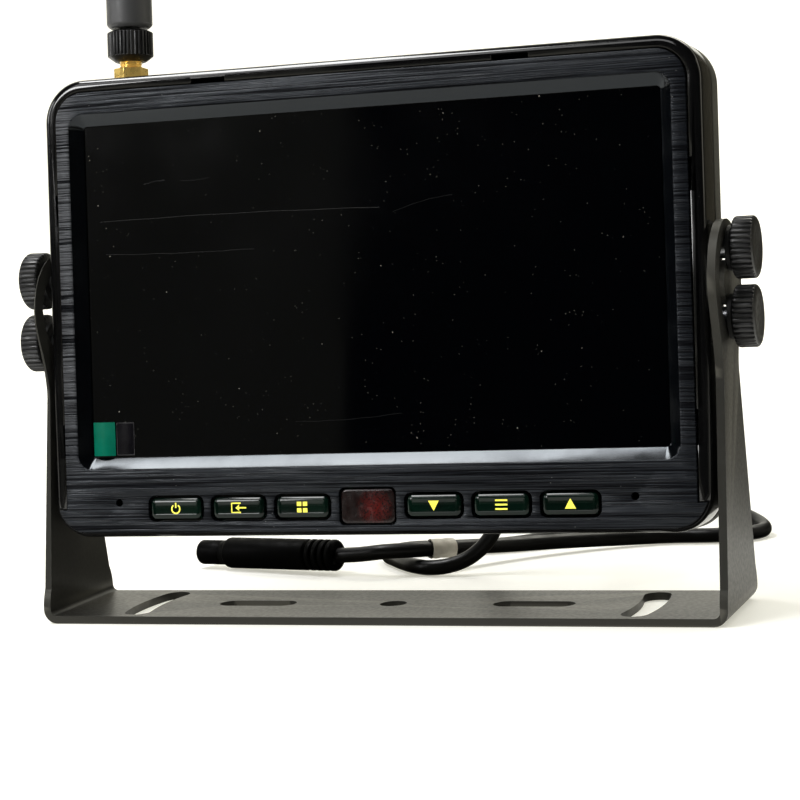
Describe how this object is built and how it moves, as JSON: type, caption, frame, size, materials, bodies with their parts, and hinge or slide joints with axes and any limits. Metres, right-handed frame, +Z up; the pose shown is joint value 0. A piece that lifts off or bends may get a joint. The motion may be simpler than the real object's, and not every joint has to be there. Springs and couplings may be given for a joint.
{
  "type": "wireless rear-view camera monitor on a tilting u bracket",
  "caption": "Flat wireless rear-view monitor with a key row and stub antenna, tilting in a slotted U bracket on ribbed thumb screws, with a power lead and moulded plug.",
  "frame": {"origin": "bottom centre of the box around everything but the free lead, its label and its plug; on the surface the bracket stands on", "axes": "+X to the viewer's right along the screen, +Y away from the viewer towards the rear cover, +Z up"},
  "size_m": [0.1972, 0.1482, 0.2547],
  "materials": {
    "powder_coat": "black fine-texture powder coat, satin",
    "frame_gloss": "polished black ABS",
    "fascia_brushed": "black plastic with a brushed-line finish under a clear coat",
    "cover_satin": "black satin ABS",
    "screen_glass": "dark LCD glass, opaque",
    "clear_film": "clear protective film over a dark panel",
    "tab_green": "green printed film tab",
    "key_gloss": "dark green-black glossy key cap",
    "infrared_red": "dark red infrared filter",
    "knob_grey": "dark grey matte nylon",
    "antenna_grey": "dark grey satin elastomer",
    "gold_plate": "gold-plated brass",
    "zinc": "bright zinc-plated steel",
    "steel": "plain steel, slightly oiled",
    "board": "green glass-epoxy board",
    "switch_grey": "grey tact switch",
    "cone_black": "black paper cone in a plastic basket",
    "rubber": "black soft rubber",
    "lead_pvc": "black satin PVC jacket",
    "plug_pvc": "black moulded PVC",
    "label_white": "off-white paper label, blank"
  },
  "bodies": {
    "bracket": {"bracket": "powder_coat", "power_lead": "lead_pvc", "lead_label": "label_white", "plug_body": "plug_pvc", "plug_nose": "plug_pvc"},
    "monitor": {"front_frame": "frame_gloss", "fascia": "fascia_brushed", "rear_cover": "cover_satin", "cover_screw_1": "steel", "cover_screw_2": "steel", "cover_screw_3": "steel", "cover_screw_4": "steel", "lcd_panel": "screen_glass", "screen_film": "clear_film", "pull_tab": "tab_green", "switch_power": "switch_grey", "switch_source": "switch_grey", "switch_channel": "switch_grey", "switch_down": "switch_grey", "switch_menu": "switch_grey", "switch_up": "switch_grey", "infrared_window": "infrared_red", "infrared_receiver": "plug_pvc", "key_board": "board", "main_board": "board", "radio_can": "zinc", "speaker": "cone_black", "side_insert_left": "cover_satin", "side_insert_right": "cover_satin", "washer_left_upper": "rubber", "washer_left_lower": "rubber", "washer_right_upper": "rubber", "washer_right_lower": "rubber", "antenna_jack": "gold_plate", "jack_washer": "gold_plate", "jack_nut": "gold_plate", "lead_grommet": "rubber"},
    "key_power": {"key_power": "key_gloss"},
    "key_source": {"key_source": "key_gloss"},
    "key_channel": {"key_channel": "key_gloss"},
    "key_down": {"key_down": "key_gloss"},
    "key_menu": {"key_menu": "key_gloss"},
    "key_up": {"key_up": "key_gloss"},
    "knob_left_upper": {"knob_left_upper": "knob_grey", "screw_left_upper": "steel"},
    "knob_left_lower": {"knob_left_lower": "knob_grey", "screw_left_lower": "steel"},
    "knob_right_upper": {"knob_right_upper": "knob_grey", "screw_right_upper": "steel"},
    "knob_right_lower": {"knob_right_lower": "knob_grey", "screw_right_lower": "steel"},
    "antenna_collar": {"antenna_collar": "antenna_grey"},
    "antenna_base": {"antenna_base": "antenna_grey", "elbow_pin": "steel"},
    "antenna_whip": {"antenna_whip": "antenna_grey"}
  },
  "joints": [
    {"name": "monitor_tilt", "type": "hinge", "parent": "bracket", "child": "monitor", "pos_m": [0, -0.0072, 0.081], "axis": [1, 0, 0], "range_deg": [-25, 25]},
    {"name": "key_power_press", "type": "slide", "parent": "monitor", "child": "key_power", "axis": [0, 0.9954, -0.0958], "range_m": [0, 0.0005], "stiffness_N_per_m": 3000, "springref_m": -0.0002},
    {"name": "key_source_press", "type": "slide", "parent": "monitor", "child": "key_source", "axis": [0, 0.9954, -0.0958], "range_m": [0, 0.0005], "stiffness_N_per_m": 3000, "springref_m": -0.0002},
    {"name": "key_channel_press", "type": "slide", "parent": "monitor", "child": "key_channel", "axis": [0, 0.9954, -0.0958], "range_m": [0, 0.0005], "stiffness_N_per_m": 3000, "springref_m": -0.0002},
    {"name": "key_down_press", "type": "slide", "parent": "monitor", "child": "key_down", "axis": [0, 0.9954, -0.0958], "range_m": [0, 0.0005], "stiffness_N_per_m": 3000, "springref_m": -0.0002},
    {"name": "key_menu_press", "type": "slide", "parent": "monitor", "child": "key_menu", "axis": [0, 0.9954, -0.0958], "range_m": [0, 0.0005], "stiffness_N_per_m": 3000, "springref_m": -0.0002},
    {"name": "key_up_press", "type": "slide", "parent": "monitor", "child": "key_up", "axis": [0, 0.9954, -0.0958], "range_m": [0, 0.0005], "stiffness_N_per_m": 3000, "springref_m": -0.0002},
    {"name": "knob_left_upper_turn", "type": "hinge", "parent": "monitor", "child": "knob_left_upper", "pos_m": [-0.095, -0.0064, 0.08926], "axis": [1, 0, 0], "continuous": true},
    {"name": "knob_left_lower_turn", "type": "hinge", "parent": "monitor", "child": "knob_left_lower", "pos_m": [-0.095, -0.008, 0.07274], "axis": [1, 0, 0], "continuous": true},
    {"name": "knob_right_upper_turn", "type": "hinge", "parent": "monitor", "child": "knob_right_upper", "pos_m": [0.095, -0.0064, 0.08926], "axis": [1, 0, 0], "continuous": true},
    {"name": "knob_right_lower_turn", "type": "hinge", "parent": "monitor", "child": "knob_right_lower", "pos_m": [0.095, -0.008, 0.07274], "axis": [1, 0, 0], "continuous": true},
    {"name": "antenna_collar_turn", "type": "hinge", "parent": "monitor", "child": "antenna_collar", "pos_m": [-0.0705, 0.00707, 0.14995], "axis": [0, 0.0958, 0.9954], "continuous": true},
    {"name": "antenna_swivel", "type": "hinge", "parent": "monitor", "child": "antenna_base", "pos_m": [-0.0705, 0.00803, 0.1599], "axis": [0, 0.0958, 0.9954], "continuous": true},
    {"name": "antenna_elbow", "type": "hinge", "parent": "antenna_base", "child": "antenna_whip", "pos_m": [-0.0705, 0.00923, 0.17235], "axis": [-1, 0, 0], "range_deg": [0, 90]}
  ]
}
